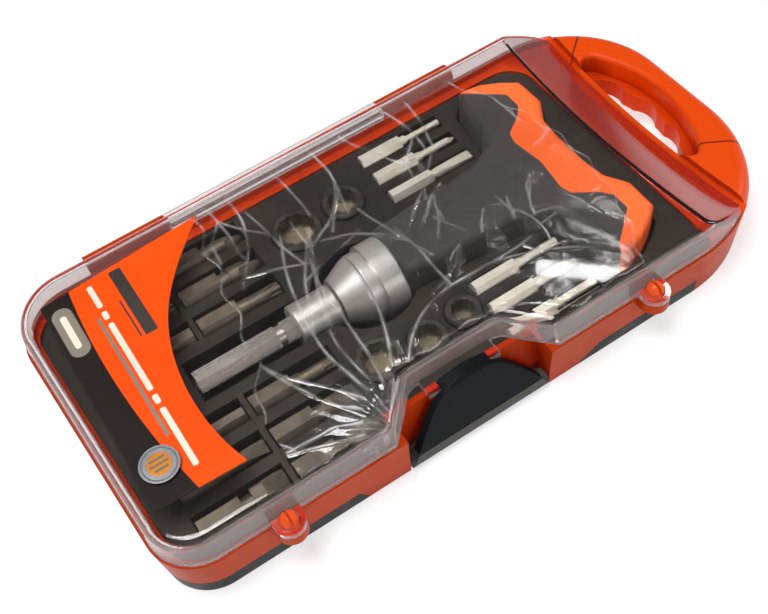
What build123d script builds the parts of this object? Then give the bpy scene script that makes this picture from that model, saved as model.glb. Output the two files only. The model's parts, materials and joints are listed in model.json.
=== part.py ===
from build123d import *
import math
import os

# Precision screwdriver set in a hinged carry case, millimetres.
# +X runs along the case towards the carry handle, +Y towards the hinges, +Z up.
# The origin is the middle of the footprint, at the height of the table.

# Case
CASE_LENGTH = 204.5
CASE_DEPTH = 98.4
RIM_HEIGHT = 17.0
CASE_HEIGHT = 26.5
WALL_FLARE = 1.2
WALL = 2.4
LEFT_LEAN = 2.7
NEAR_LEFT_R = 14.0
FAR_LEFT_R = 17.0
NEAR_RIGHT_R = 40.0
FAR_RIGHT_R = 33.0
SIDE_STANDOFF = 5.6
DECK_LOW = 13.0
DECK_TOP = 15.0
TUB_END_X = 81.5
TUB_END_R = 345.0
FOOT_HEIGHT = 5.5
FOOT_END_X = 63.0
FOOT_FLOOR = 1.8
FOOT_RAMP = [(-48.0, 5.5), (-44.0, 0.0), (19.0, 0.0), (29.0, 5.5)]

# Carry handle
HANDLE_LOW = 6.0
HANDLE_TOP = 19.0
HANDLE_ROUND = 4.5
OPENING_X = 50.0
OPENING_Y = 5.0
OPENING_R = 44.7
OPENING_TIP_R = 3.0
OPENING_ROUND = 1.5
LEDGE_TOP = 12.0
LEDGE_WIDTH = 3.0
SCALLOP_R = 7.0
SCALLOP_ANGLES = [-16, 3, 22]
GRIP_START = -32.0
GRIP_END = 40.0

# Lid
LID_GAP = 0.1
LID_INSET = 0.5
LID_DRAFT = 1.0
LID_WALL = 1.5
LID_ROUND = 3.2
SLOPE_TOP_X = 63.0
SLOPE_FOOT_X = 80.0
SLOPE_ROUND = 1.8
NOTCH_MOUTH = 25.5
NOTCH_INNER = 14.0
NOTCH_DEPTH = 12.2
NOTCH_ROUND = 5.0
FILM_THICKNESS = 0.15
CARD_THICKNESS = 0.4
CARD_CORNERS = [(-93.3, -33.6), (-93.2, 38.8)]
CARD_CURVE = [(-43.4, 42.0), (-54.3, 31.1), (-62.7, 20.5), (-67.2, 11.8), (-70.1, 2.4), (-71.7, -9.4),
              (-71.5, -20.1), (-68.5, -34.4)]
STICKER_PLACE = (-86.7, -23.4)
STICKER_R = 5.2
STICKER_THICKNESS = 0.1

# Hinge
HINGE_R = 2.6
HINGE_Z = 17.6
HINGE_X = -13.7
HINGE_HALF = 62.7
KNUCKLE = 26.0
KNUCKLE_GAP = 0.4
KNUCKLE_WEB = 6.0
PIN_R = 0.8
RUNNING = 0.05

# Latch
LATCH_X = -10.3
LATCH_WIDTH = 43.5
LATCH_PIVOT_Z = 2.6
LATCH_BARREL_R = 2.4
LATCH_PIVOT_INSET = 2.7
LATCH_TOP = 20.9
LATCH_PIN_R = 1.0
LATCH_LIP_GAP = 4.3
GROOVE_Z = 6.3
GROOVE_WIDTH = 0.6
GROOVE_DEPTH = 0.5
POCKET_GAP = 0.5
HOUSING_WALL = 1.25
HOUSING_DEPTH = 10.2
LIP_TOP = 18.9
TONGUE_LOW = 19.1
TONGUE_HALF = 9.0

# Section of the latch panel above its groove: Y from the pivot, and height
LATCH_SECTION = [(2.6, 19.4), (3.6, LATCH_TOP), (6.6, LATCH_TOP), (6.6, TONGUE_LOW), (3.8, TONGUE_LOW),
                 (3.8, 17.0), (0.4, 6.9), (0.0, LATCH_PIVOT_Z)]
# Right half of the latch's arched front: X from its middle, and height
LATCH_ARCH = [(LATCH_WIDTH / 2, 0), (20.3, 5.0), (17.8, 9.0), (14.2, 13.5), (9.8, 17.8), (5.0, 20.1),
              (0, LATCH_TOP)]

# Snap pegs
PEG_MID_X = -11.55
PEG_SPACING = 111.8
TAB_R = 4.1
TAB_THICKNESS = 1.8
PEG_HOLE_R = 2.7
PEG_HEAD_R = 2.4
PEG_SHANK_R = 1.7
PEG_DEPTH = 3.0
PEG_TOP = 21.6
PEG_SPLIT = 0.3
BOSS_HEIGHT = 3.5

# Tray
TRAY_LOW = 1.9
TRAY_TOP = 14.6
TRAY_SKIN = 1.2
TRAY_EDGE = 4.0
TRAY_GAP = 0.4
TRAY_RIGHT_X = 69.0
TRAY_FAR_Y = 43.6
TRAY_CORNER_R = 9.0

# Quarter-inch bits
BIT_AF = 6.35
BIT_LENGTH = 25.0
BIT_SHANK = 12.0
BIT_Z = 12.2
BLADE = 0.45
NECK_SHARE = 0.36
FLUTE_SHARE = 0.95
FLUTE_TILT = 14
BIT_ROWS = [-38.2, -26.6, -15.0, 15.0, 26.6, 38.2]
BIT_COLUMNS = [-86.6, -59.2]
BIT_GAP = 0.35
BIT_TIPS = [
    [("slot_7", 3.5), ("slot_4", 2.2), ("hex_4", 2.0),
     ("hex_5", 2.5), ("star_25", 2.25), ("cross_3", 3.1)],
    [("slot_6", 3.1), ("slot_5", 2.75), ("star_15", 1.9),
     ("star_20", 2.1), ("cross_2", 3.0), ("cross_1", 2.4)],
]

# Precision bits
FINE_AF = 4.0
FINE_LENGTH = 28.0
FINE_SHANK = 14.0
FINE_X = 8.0
FINE_Z = 14.2
FINE_ROWS = [-36.6, -28.0, -19.6, 21.6, 30.2, 38.6]
FINE_TIPS = [("slot_2", 1.2), ("cross_0", 1.5), ("star_8", 1.2),
             ("slot_3", 1.6), ("cross_00", 1.1), ("star_6", 0.9)]

# Sockets: across flats, x, y from the driver's axis
SOCKETS = [(9, -24.8, -23.6), (7, -10.8, -25.6), (6, 1.5, -24.0), (10, -20.6, 27.4), (8, -4.5, 28.4)]
SOCKET_HEIGHT = 12.0
SOCKET_WALL = 1.7
SOCKET_FLOOR = 4.0
SOCKET_GAP = 0.3
SOCKET_BORE_DEPTH = 6.0
SOCKET_BEVEL = 0.6
SOCKET_WEB = 1.0

# Driver
DRIVER_Y = 0.0
DRIVER_Z = 13.2
ADAPTER_X = -67.9
SPINDLE_X = -37.6
COLLAR_X = -24.2
RING_X = -16.6
HANDLE_X = -6.0
ADAPTER_INSERT = 17.0
FINE_SOCKET_DEPTH = 12.0
HEX_FIT = 0.05
SPINDLE_R = 6.1
SPINDLE_BEVEL = 0.5
STEM_R = 4.0
TURN_GAP = 0.3
COLLAR_NOSE_R = 6.9
COLLAR_R = 10.0
COLLAR_BAND = 0.9
RING_R = 11.2
RING_BAND = 2.9
RING_STEP = 0.9
RING_GROOVE = 0.8
RING_GROOVE_DEPTH = 0.6
RING_BEVEL = 0.6
RING_END_GAP = 0.15
SLEEVE_R = 6.6
GEAR_R = 5.2
GEAR_TEETH = 20
GEAR_X = -14.6
GEAR_LENGTH = 5.0
GEAR_TOOTH = 0.7
GEAR_BORE_R = 3.0
GEAR_TIP_GAP = 0.3
GEAR_END_GAP = 0.3
PAWL_ANGLES = (-40, 40)
PAWL_INSET = 0.3
PAWL_LENGTH = 3.0
PAWL_HALF = 1.2
PAWL_GAP = 0.15
SPRING_WIDTH = 0.6
SPRING_DEPTH = 0.6
CLIP_R = 3.8
CLIP_WIDTH = 0.8
CLIP_LAND = 0.4
NECK_FROM_SPINDLE = 5.6
NECK_WIDTH = 2.0
NECK_DEPTH = 0.2
MAGNET_R = 1.6
MAGNET_LENGTH = 2.0
HANDLE_HALF = 9.8
HANDLE_EDGE = 2.6
CORE_HALF_Z = 5.0
RECESS_GAP = 1.0

half_depth = CASE_DEPTH / 2
half_length = CASE_LENGTH / 2
hinge_y = half_depth + SIDE_STANDOFF - HINGE_R
tab_y = -half_depth - SIDE_STANDOFF + TAB_R
latch_y = -half_depth + LATCH_PIVOT_INSET
lid_bottom = RIM_HEIGHT + LID_GAP
lid_under = CASE_HEIGHT - LID_WALL
notch_y = -half_depth + NOTCH_DEPTH
housing_y = -half_depth + HOUSING_DEPTH
lip_y = latch_y + LATCH_LIP_GAP
pocket_half = LATCH_WIDTH / 2 + POCKET_GAP
CLIP_X = GEAR_X + GEAR_LENGTH
SPRING_X = GEAR_X + 0.8
NECK_X = SPINDLE_X - NECK_FROM_SPINDLE
housing_half = pocket_half + HOUSING_WALL


def slab(face, low, high):
    """A flat face at height zero, made into a solid between two heights."""
    return extrude(Pos(0, 0, low) * face, amount=high - low, dir=(0, 0, 1))


def block(low, high):
    """A box from its lowest and highest corners."""
    size = [b - a for a, b in zip(low, high)]
    middle = [(a + b) / 2 for a, b in zip(low, high)]
    return Pos(*middle) * Box(*size)


def polygon(points):
    return make_face(Polyline(*points, close=True))


def rod(x0, x1, radius, y=DRIVER_Y, z=DRIVER_Z):
    """A round bar along X."""
    return Pos((x0 + x1) / 2, y, z) * Rot(0, 90, 0) * Cylinder(radius, x1 - x0)


def hex_rod(x0, x1, flats, y=DRIVER_Y, z=DRIVER_Z):
    """A hexagonal bar along X with a flat on top."""
    section = Plane.YZ * RegularPolygon(flats / 2, 6, major_radius=False)
    return Pos(x0, y, z) * extrude(section, amount=x1 - x0, dir=(1, 0, 0))


def case_outline(inset=0.0):
    """The case seen from above: four straight sides, four different corners."""
    y = half_depth - inset
    x = half_length - inset
    corner_y = half_depth - FAR_LEFT_R
    lean = math.tan(math.radians(LEFT_LEAN))
    left = [-x + (corner_y - side) * lean for side in (-y, y)]
    face = polygon([(left[0], -y), (x, -y), (x, y), (left[1], y)]).face()
    corners = [((left[0], -y), NEAR_LEFT_R), ((x, -y), NEAR_RIGHT_R),
               ((x, y), FAR_RIGHT_R), ((left[1], y), FAR_LEFT_R)]
    for (cx, cy), radius in corners:
        corner = face.vertices().sort_by_distance((cx, cy, 0))[0]
        face = face.fillet_2d(radius - inset, [corner])
    return face


def beyond(x):
    """Everything to the right of the case's hollow end line."""
    return Pos(x + TUB_END_R, 0) * Circle(TUB_END_R)


def case_block():
    """The flared outside of the base."""
    lower = case_outline(WALL_FLARE)
    upper = Pos(0, 0, RIM_HEIGHT) * case_outline()
    return loft([lower, upper], ruled=True)


def along_y(points, y0, y1):
    """A prism along Y from an outline in X and Z."""
    face = make_face(Plane.XZ * Polyline(*points, close=True))
    return Pos(0, y0, 0) * extrude(face, amount=y1 - y0, dir=(0, 1, 0))


def along_x(points, x0, x1):
    """A prism along X from an outline in Y and Z."""
    face = make_face(Plane.YZ * Polyline(*points, close=True))
    return Pos(x0, 0, 0) * extrude(face, amount=x1 - x0, dir=(1, 0, 0))


def housing_box(gap=0.0):
    low = (LATCH_X - housing_half - gap, -half_depth - 10, -1)
    high = (LATCH_X + housing_half + gap, housing_y + gap, RIM_HEIGHT + 1)
    return block(low, high)


def foot_region():
    """The space of the dark bottom shell."""
    region = block((-half_length - 5, -half_depth - 5, -1), (FOOT_END_X, half_depth + 5, FOOT_HEIGHT))
    ramp = [(FOOT_RAMP[0][0], FOOT_HEIGHT + 1)] + FOOT_RAMP + [(FOOT_RAMP[-1][0], FOOT_HEIGHT + 1)]
    ramp = ramp[:2] + [(FOOT_RAMP[1][0], -2), (FOOT_RAMP[2][0], -2)] + ramp[4:]
    wall_y = -half_depth + WALL_FLARE + WALL
    return region - along_y(ramp, -half_depth - 6, wall_y) - housing_box()


def peg_places():
    return [(PEG_MID_X + side * PEG_SPACING / 2, tab_y) for side in (-1, 1)]


def tray_outline(gap):
    """The tray's outline, grown by a gap all round."""
    face = case_outline(TRAY_EDGE - gap)
    limit = block((-half_length, -half_depth, -1), (TRAY_RIGHT_X + gap, TRAY_FAR_Y + gap, 1))
    return slab(face, -0.5, 0.5) & limit


def tray_space(gap, low, high):
    flat = tray_outline(gap)
    face = flat.faces().sort_by(Axis.Z)[-1]
    corner = [v for v in face.vertices() if v.X > TRAY_RIGHT_X - 1 and v.Y > TRAY_FAR_Y - 1]
    face = face.fillet_2d(TRAY_CORNER_R + gap, corner)
    return slab(Pos(0, 0, -face.center().Z) * face, low, high)


def opening(shrink):
    """The finger opening of the carry handle, seen from above."""
    face = Pos(OPENING_X, OPENING_Y) * Circle(OPENING_R - shrink)
    lens = slab(face, 0, 1) & slab(beyond(TUB_END_X), 0, 1)
    base = lens.faces().sort_by(Axis.Z)[0]
    base = -base if base.normal_at().Z < 0 else base
    return base.fillet_2d(OPENING_TIP_R, base.vertices())


def handle_loop():
    """The D-shaped loop, flared like the case, with a finger ledge low in its opening."""
    rise = HANDLE_TOP / RIM_HEIGHT - 1
    upper_outline = Pos(0, 0, HANDLE_TOP) * case_outline(-WALL_FLARE * rise)
    outer = loft([case_outline(WALL_FLARE), upper_outline], ruled=True)
    outer &= slab(beyond(TUB_END_X - WALL), HANDLE_LOW, HANDLE_TOP)
    for height, radius in ((HANDLE_TOP, HANDLE_ROUND), (HANDLE_LOW, HANDLE_ROUND - 1)):
        edges = [e for e in outer.edges() if abs(e.center().Z - height) < 0.01 and not near_line(e)]
        outer = fillet(edges, radius)
    over_tub = slab(case_outline(-WALL), RIM_HEIGHT, HANDLE_TOP + 1)
    over_tub -= slab(beyond(TUB_END_X), RIM_HEIGHT - 1, HANDLE_TOP + 2)
    outer -= over_tub
    upper = slab(opening(0.0), LEDGE_TOP, HANDLE_TOP + 1)
    lower = slab(opening(LEDGE_WIDTH), HANDLE_LOW - 1, LEDGE_TOP)
    for angle in SCALLOP_ANGLES:
        reach = OPENING_R - LEDGE_WIDTH - SCALLOP_R + LEDGE_WIDTH / 2
        x = OPENING_X + reach * math.cos(math.radians(angle))
        y = OPENING_Y + reach * math.sin(math.radians(angle))
        scoop = slab(Pos(x, y) * Circle(SCALLOP_R), HANDLE_LOW - 1, LEDGE_TOP)
        lower += scoop & slab(beyond(TUB_END_X + 1), HANDLE_LOW - 2, LEDGE_TOP + 1)
    loop = outer - upper - lower
    edges = [e for e in loop.edges() if abs(e.center().Z - HANDLE_TOP) < 0.01 and in_opening(e)]
    return fillet(edges, OPENING_ROUND)


def in_opening(edge):
    """True for an edge round the finger opening's grip side."""
    c = edge @ 0.5
    return abs(math.hypot(c.X - OPENING_X, c.Y - OPENING_Y) - OPENING_R) < 0.01


def near_line(edge):
    """True for an edge on the hollow end line of the case."""
    c = edge @ 0.5
    return abs(math.hypot(c.X - TUB_END_X + WALL - TUB_END_R, c.Y) - TUB_END_R) < 0.3


def grip_zone():
    """The wedge of the loop that is a separate grip."""
    points = [(OPENING_X, OPENING_Y)]
    for angle in (GRIP_START, (GRIP_START + GRIP_END) / 2, GRIP_END):
        reach = 90.0
        a = math.radians(angle)
        points.append((OPENING_X + reach * math.cos(a), OPENING_Y + reach * math.sin(a)))
    wedge = slab(polygon(points), LEDGE_TOP, HANDLE_TOP + 1)
    return wedge - slab(Pos(OPENING_X, OPENING_Y) * Circle(OPENING_R - 1), LEDGE_TOP - 1, HANDLE_TOP + 2)


def latch_pocket():
    """The room for the latch in the near side of the base."""
    back = latch_y + LATCH_BARREL_R + POCKET_GAP
    lean = back + 3.2
    top = RIM_HEIGHT + 1
    points = [(-half_depth - 10, -1), (back, -1), (back, 6), (lean, top), (-half_depth - 10, top)]
    return along_x(points, LATCH_X - pocket_half, LATCH_X + pocket_half)


def base_frame():
    outside = case_block()
    tub = outside - slab(beyond(TUB_END_X), -1, RIM_HEIGHT + 1)
    inner = slab(case_outline(WALL_FLARE + WALL), -1, DECK_LOW)
    inner -= slab(beyond(TUB_END_X - WALL), -2, DECK_LOW + 1)
    inner -= block((FOOT_END_X, -half_depth, -2), (half_length, half_depth, FOOT_FLOOR))
    rim = slab(case_outline(WALL), DECK_TOP, RIM_HEIGHT + 1)
    rim -= slab(beyond(TUB_END_X - WALL), DECK_TOP - 1, RIM_HEIGHT + 2)
    frame = tub - inner - rim - tray_space(TRAY_GAP, DECK_LOW - 1, DECK_TOP + 1) - foot_region()
    frame += tub & housing_box()
    frame += handle_loop() - grip_zone()
    for x, y in peg_places():
        frame += slab(boss_face(x, y), RIM_HEIGHT - BOSS_HEIGHT, RIM_HEIGHT)
        frame -= Pos(x, y, RIM_HEIGHT - PEG_DEPTH / 2) * Cylinder(PEG_SHANK_R, PEG_DEPTH)
    for x0, x1 in base_knuckles():
        frame += knuckle(x0, x1)
    frame -= rod(HINGE_X - HINGE_HALF - 1, HINGE_X + HINGE_HALF + 1, PIN_R, hinge_y, HINGE_Z)
    frame -= latch_pocket()
    frame -= rod(LATCH_X - housing_half, LATCH_X + housing_half, LATCH_PIN_R, latch_y, LATCH_PIVOT_Z)
    return frame


def boss_face(x, y):
    """A half-round lug on the near side, from the wall out to the peg."""
    inner_y = -half_depth + WALL / 2
    lug = slab(Pos(x, y) * Circle(TAB_R), 0, 1)
    lug += slab(Pos(x, (y + inner_y) / 2) * Rectangle(2 * TAB_R, inner_y - y), 0, 1)
    face = lug.faces().sort_by(Axis.Z)[-1]
    return Pos(0, 0, -1) * face


def base_knuckles():
    end = HINGE_X + HINGE_HALF
    start = HINGE_X - HINGE_HALF
    return [(start, start + KNUCKLE), (end - KNUCKLE, end)]


def knuckle(x0, x1):
    """A base hinge barrel with its web to the wall."""
    low = RIM_HEIGHT - KNUCKLE_WEB
    web = [(half_depth - WALL, low), (half_depth, low), (hinge_y + HINGE_R * 0.8, HINGE_Z - HINGE_R * 0.6),
           (hinge_y, RIM_HEIGHT), (half_depth - WALL, RIM_HEIGHT)]
    return along_x(web, x0, x1) + rod(x0, x1, HINGE_R, hinge_y, HINGE_Z)


def lid_form(inset, low, top):
    """The lid's outside, or its inside when inset by the wall."""
    lower = Pos(0, 0, low) * case_outline(LID_INSET + inset)
    upper = Pos(0, 0, top) * case_outline(LID_INSET + LID_DRAFT + inset)
    form = loft([lower, upper], ruled=True)
    mouth = NOTCH_MOUTH + inset
    inner = NOTCH_INNER + inset
    depth = notch_y + inset
    points = [(LATCH_X - mouth, -half_depth), (LATCH_X - inner, depth), (LATCH_X + inner, depth),
              (LATCH_X + mouth, -half_depth), (LATCH_X + mouth, -half_depth - 9),
              (LATCH_X - mouth, -half_depth - 9)]
    notch = polygon(points).face()
    for x in (LATCH_X - inner, LATCH_X + inner):
        corner = notch.vertices().sort_by_distance((x, depth, 0))[0]
        notch = notch.fillet_2d(NOTCH_ROUND, [corner])
    form -= slab(notch, low - 1, top + 1)
    edges = [e for e in form.edges() if abs(e.center().Z - top) < 0.01]
    form = fillet(edges, LID_ROUND - inset)
    return form - end_slope(inset, low - 1, top + 1)


def end_slope(inset, low, top):
    """What is cut away beyond the lid's hollow sloping end: a cone about a far upright axis."""
    run = (SLOPE_FOOT_X - SLOPE_TOP_X) / (CASE_HEIGHT - RIM_HEIGHT)
    across = inset * math.sqrt(1 + run * run)
    foot_x = SLOPE_FOOT_X - across + (RIM_HEIGHT - low) * run
    top_x = SLOPE_TOP_X - across - (top - CASE_HEIGHT) * run
    axis_x = SLOPE_FOOT_X + TUB_END_R
    return Pos(axis_x, 0, (low + top) / 2) * Cone(axis_x - foot_x, axis_x - top_x, top - low)


def lid():
    outside = lid_form(0.0, lid_bottom, CASE_HEIGHT)
    edges = [e for e in outside.edges()
             if abs(e.center().Z - CASE_HEIGHT) < 0.01 and e.center().X > SLOPE_TOP_X - 1]
    outside = fillet(edges, SLOPE_ROUND)
    shell = outside - lid_form(LID_WALL, lid_bottom - 2, lid_under)
    for x, y in peg_places():
        tab = slab(boss_face(x, y), lid_bottom, lid_bottom + TAB_THICKNESS)
        shell += tab
        shell -= Pos(x, y, lid_bottom) * Cylinder(PEG_HOLE_R, 4 * TAB_THICKNESS)
    start = HINGE_X - HINGE_HALF + KNUCKLE + KNUCKLE_GAP
    end = HINGE_X + HINGE_HALF - KNUCKLE - KNUCKLE_GAP
    inner_y = half_depth - LID_INSET - LID_WALL / 2
    web_top = HINGE_Z + HINGE_R
    web = [(inner_y, lid_bottom), (hinge_y, lid_bottom), (hinge_y, web_top), (inner_y, web_top)]
    shell += along_x(web, start, end)
    shell += rod(start, end, HINGE_R, hinge_y, HINGE_Z)
    shell -= rod(start - 1, end + 1, PIN_R + RUNNING, hinge_y, HINGE_Z)
    lip_half = TONGUE_HALF + 2
    lip = block((LATCH_X - lip_half, lip_y, lid_bottom), (LATCH_X + lip_half, notch_y + 0.5, LIP_TOP))
    return shell + lip


def latch():
    """A leaning panel with an arched top, a barrel at its foot and a tongue over the lid's lip."""
    y = latch_y
    front = y - LATCH_BARREL_R
    profile = [(front, LATCH_PIVOT_Z), (front, GROOVE_Z)]
    profile += [(y + across, z) for across, z in LATCH_SECTION]
    x0 = LATCH_X - LATCH_WIDTH / 2
    x1 = LATCH_X + LATCH_WIDTH / 2
    panel = along_x(profile, x0, x1)
    right = [(LATCH_X + x, z) for x, z in LATCH_ARCH]
    left = [(LATCH_X - x, z) for x, z in reversed(LATCH_ARCH)]
    edge = Spline(*(right + left[1:]))
    arch = make_face(Plane.XZ * (edge + Line(left[-1], right[0])))
    panel &= Pos(0, -CASE_DEPTH, 0) * extrude(arch, amount=2 * CASE_DEPTH, dir=(0, 1, 0))
    tongue_x = LATCH_X - TONGUE_HALF
    tongue_room = block((x0 - 1, lip_y - 0.1, RIM_HEIGHT / 2), (tongue_x, housing_y, CASE_HEIGHT))
    panel -= tongue_room
    panel -= mirror(tongue_room, Plane.YZ.offset(LATCH_X))
    panel += rod(x0, x1, LATCH_BARREL_R, y, LATCH_PIVOT_Z)
    panel -= rod(x0 - 1, x1 + 1, LATCH_PIN_R + RUNNING, y, LATCH_PIVOT_Z)
    groove = block((x0 - 1, front - 1, GROOVE_Z), (x1 + 1, front + GROOVE_DEPTH, GROOVE_Z + GROOVE_WIDTH))
    return panel - groove


def bottom_shell():
    outside = case_block() - slab(beyond(TUB_END_X), -1, RIM_HEIGHT + 1)
    shell = outside & foot_region()
    pan = slab(case_outline(WALL_FLARE + WALL), FOOT_FLOOR, FOOT_HEIGHT + 1)
    return shell - pan


def snap_pegs():
    pegs = []
    for x, y in peg_places():
        shank = Pos(x, y, RIM_HEIGHT - PEG_DEPTH / 2) * Cylinder(PEG_SHANK_R, PEG_DEPTH)
        post = Pos(x, y, (RIM_HEIGHT + PEG_TOP - PEG_HEAD_R) / 2) * Cylinder(
            PEG_HEAD_R - 0.3, PEG_TOP - PEG_HEAD_R - RIM_HEIGHT)
        head = Pos(x, y, PEG_TOP - PEG_HEAD_R) * Sphere(PEG_HEAD_R)
        split = block((x - PEG_SPLIT, y - 4, lid_bottom + TAB_THICKNESS), (x + PEG_SPLIT, y + 4, PEG_TOP + 1))
        pegs.append(shank + post + head - split)
    return Compound(children=[s for peg in pegs for s in peg.solids()])


def label_card():
    """The card under the lid's left end, with one hollow curved side."""
    straight = Polyline(CARD_CURVE[-1], *CARD_CORNERS, CARD_CURVE[0])
    outline = Spline(*CARD_CURVE) + straight
    return slab(make_face(outline), lid_under - CARD_THICKNESS, lid_under)


def label_sticker():
    middle = Pos(*STICKER_PLACE, CASE_HEIGHT + STICKER_THICKNESS / 2)
    return middle * Cylinder(STICKER_R, STICKER_THICKNESS)


def shrink_film():
    low = (-58.0, -half_depth + 15.0, CASE_HEIGHT)
    high = (SLOPE_TOP_X - 5.0, half_depth - 6.0, CASE_HEIGHT + FILM_THICKNESS)
    return block(low, high)


def hinge_pin():
    return rod(HINGE_X - HINGE_HALF, HINGE_X + HINGE_HALF, PIN_R, hinge_y, HINGE_Z)


def latch_pin():
    return rod(LATCH_X - housing_half, LATCH_X + housing_half, LATCH_PIN_R, latch_y, LATCH_PIVOT_Z)


# ---- T-handle ratchet driver -------------------------------------------------------------------

def mirrored(points):
    """A closed outline about the driver's axis from its +Y half."""
    upper = [(x, DRIVER_Y + y) for x, y in points]
    lower = [(x, DRIVER_Y - y) for x, y in reversed(points)]
    return polygon(upper + lower)


# Half outlines of the handle and of its hard orange spine, seen from above: X, and Y from the axis
HANDLE_PLAN = [(HANDLE_X, 9.4), (6.0, 10.2), (20.0, 10.8), (31.0, 12.0), (37.0, 15.0), (40.2, 21.0),
               (41.2, 29.0), (42.0, 35.5), (44.5, 38.4), (51.0, 37.0), (56.4, 34.0), (61.0, 30.4),
               (61.3, 20.4), (57.3, 13.6), (56.5, 6.0)]
SPINE_PLAN = [(45.7, 0.5), (44.4, 10.6), (45.3, 14.2), (51.5, 18.6), (54.0, 21.8), (54.0, 27.6), (49.5, 31.5),
              (44.6, 35.6), (42.0, 41.0), (64.0, 41.0), (64.0, 0.5)]


def handle_solid(grow=0.0, half=HANDLE_HALF):
    face = mirrored(HANDLE_PLAN)
    if grow:
        face = offset(face, grow)
    return slab(face, DRIVER_Z - half, DRIVER_Z + half)


def spine_zone():
    return slab(mirrored(SPINE_PLAN), 0, CASE_HEIGHT)


def core_stem():
    return block((HANDLE_X, DRIVER_Y - SLEEVE_R, DRIVER_Z - CORE_HALF_Z),
                 (46.0, DRIVER_Y + SLEEVE_R, DRIVER_Z + CORE_HALF_Z))


def rounded_handle():
    solid = handle_solid()
    edges = [e for e in solid.edges()
             if abs(abs(e.center().Z - DRIVER_Z) - HANDLE_HALF) < 0.01 and e.center().X > HANDLE_X + 0.5]
    return fillet(edges, HANDLE_EDGE)


def tube(x0, x1, outer, inner):
    """A round ring along X."""
    return rod(x0, x1, outer) - rod(x0 - 1, x1 + 1, inner)


def round_edges(shape, radius):
    """The circular edges of one radius."""
    return [e for e in shape.edges().filter_by(GeomType.CIRCLE) if abs(e.radius - radius) < 0.01]


def handle_core():
    return (rounded_handle() & spine_zone()) + core_stem()


def rubber_grip():
    return rounded_handle() - spine_zone() - core_stem()


def adapter():
    """A quarter-inch hexagonal rod with a 4 mm socket in its outer end."""
    bore_end = ADAPTER_X + FINE_SOCKET_DEPTH
    shape = hex_rod(ADAPTER_X, SPINDLE_X + ADAPTER_INSERT, BIT_AF)
    shape -= hex_rod(ADAPTER_X - 1, bore_end, FINE_AF + 2 * HEX_FIT)
    shape -= rod(bore_end, bore_end + MAGNET_LENGTH, MAGNET_R)
    return shape - tube(NECK_X, NECK_X + NECK_WIDTH, BIT_AF, BIT_AF / 2 - NECK_DEPTH)


def magnet():
    bore_end = ADAPTER_X + FINE_SOCKET_DEPTH
    return rod(bore_end, bore_end + MAGNET_LENGTH, MAGNET_R)


def spindle():
    """The round bit holder, with the stem that carries the ratchet gear behind it."""
    shape = rod(SPINDLE_X, COLLAR_X - TURN_GAP, SPINDLE_R)
    shape = chamfer(round_edges(shape, SPINDLE_R), SPINDLE_BEVEL)
    shape += rod(SPINDLE_X + 1, GEAR_X, STEM_R)
    shape -= hex_rod(SPINDLE_X - 1, SPINDLE_X + ADAPTER_INSERT, BIT_AF + 2 * HEX_FIT)
    shape += rod(GEAR_X, CLIP_X + CLIP_WIDTH + CLIP_LAND, GEAR_BORE_R)
    return shape


def collar():
    """The fixed flared body of the ratchet, with a sleeve under the selector ring."""
    band_x = RING_X - COLLAR_BAND
    flare = Cone(COLLAR_NOSE_R, COLLAR_R, band_x - COLLAR_X)
    shape = Pos((COLLAR_X + band_x) / 2, DRIVER_Y, DRIVER_Z) * Rot(0, 90, 0) * flare
    shape += rod(band_x, RING_X, COLLAR_R) + rod(RING_X, HANDLE_X, SLEEVE_R)
    shape -= rod(COLLAR_X - 1, GEAR_X, STEM_R + RUNNING)
    shape -= rod(GEAR_X - GEAR_END_GAP, CLIP_X + CLIP_WIDTH + CLIP_LAND + GEAR_END_GAP, GEAR_R + GEAR_TIP_GAP)
    return shape - pawl_blocks(RUNNING) - spring_space()


def selector_ring():
    """The turned ring: a front band, a groove and a wider rear barrel."""
    shape = rod(RING_X + RING_END_GAP, HANDLE_X - RING_END_GAP, RING_R)
    shape = chamfer(round_edges(shape, RING_R), RING_BEVEL)
    groove_x = RING_X + RING_BAND
    shape -= tube(RING_X, groove_x, RING_R + 1, RING_R - RING_STEP)
    shape -= tube(groove_x, groove_x + RING_GROOVE, RING_R + 1, RING_R - RING_STEP - RING_GROOVE_DEPTH)
    return shape - rod(RING_X - 1, HANDLE_X + 1, SLEEVE_R + RUNNING)


def spring_space():
    """The groove of the pawl spring round the sleeve."""
    return tube(SPRING_X, SPRING_X + SPRING_WIDTH, SLEEVE_R + 0.01, SLEEVE_R - SPRING_DEPTH)


def pawl_spring():
    return tube(SPRING_X, SPRING_X + SPRING_WIDTH, SLEEVE_R - RUNNING, SLEEVE_R - SPRING_DEPTH)


def pawl_blocks(grow):
    """Two blocks between the gear and the ring, either side of the top."""
    low = (GEAR_X + PAWL_INSET - grow, -PAWL_HALF - grow, GEAR_R + PAWL_GAP)
    high = (GEAR_X + PAWL_INSET + PAWL_LENGTH + grow, PAWL_HALF + grow, SLEEVE_R - PAWL_GAP)
    pawls = [Rot(angle, 0, 0) * block(low, high) for angle in PAWL_ANGLES]
    return Pos(0, DRIVER_Y, DRIVER_Z) * (pawls[0] + pawls[1])


def ratchet_gear():
    points = []
    for tooth in range(GEAR_TEETH):
        for radius, share in ((GEAR_R, 0.0), (GEAR_R - GEAR_TOOTH, 0.5)):
            a = 2 * math.pi * (tooth + share) / GEAR_TEETH
            points.append((radius * math.cos(a), radius * math.sin(a)))
    face = make_face(Plane.YZ * Polyline(*points, close=True))
    wheel = Pos(GEAR_X, DRIVER_Y, DRIVER_Z) * extrude(face, amount=GEAR_LENGTH, dir=(1, 0, 0))
    return wheel - rod(GEAR_X - 1, GEAR_X + GEAR_LENGTH + 1, GEAR_BORE_R)


def spindle_clip():
    return tube(CLIP_X, CLIP_X + CLIP_WIDTH, CLIP_R, GEAR_BORE_R)


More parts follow.
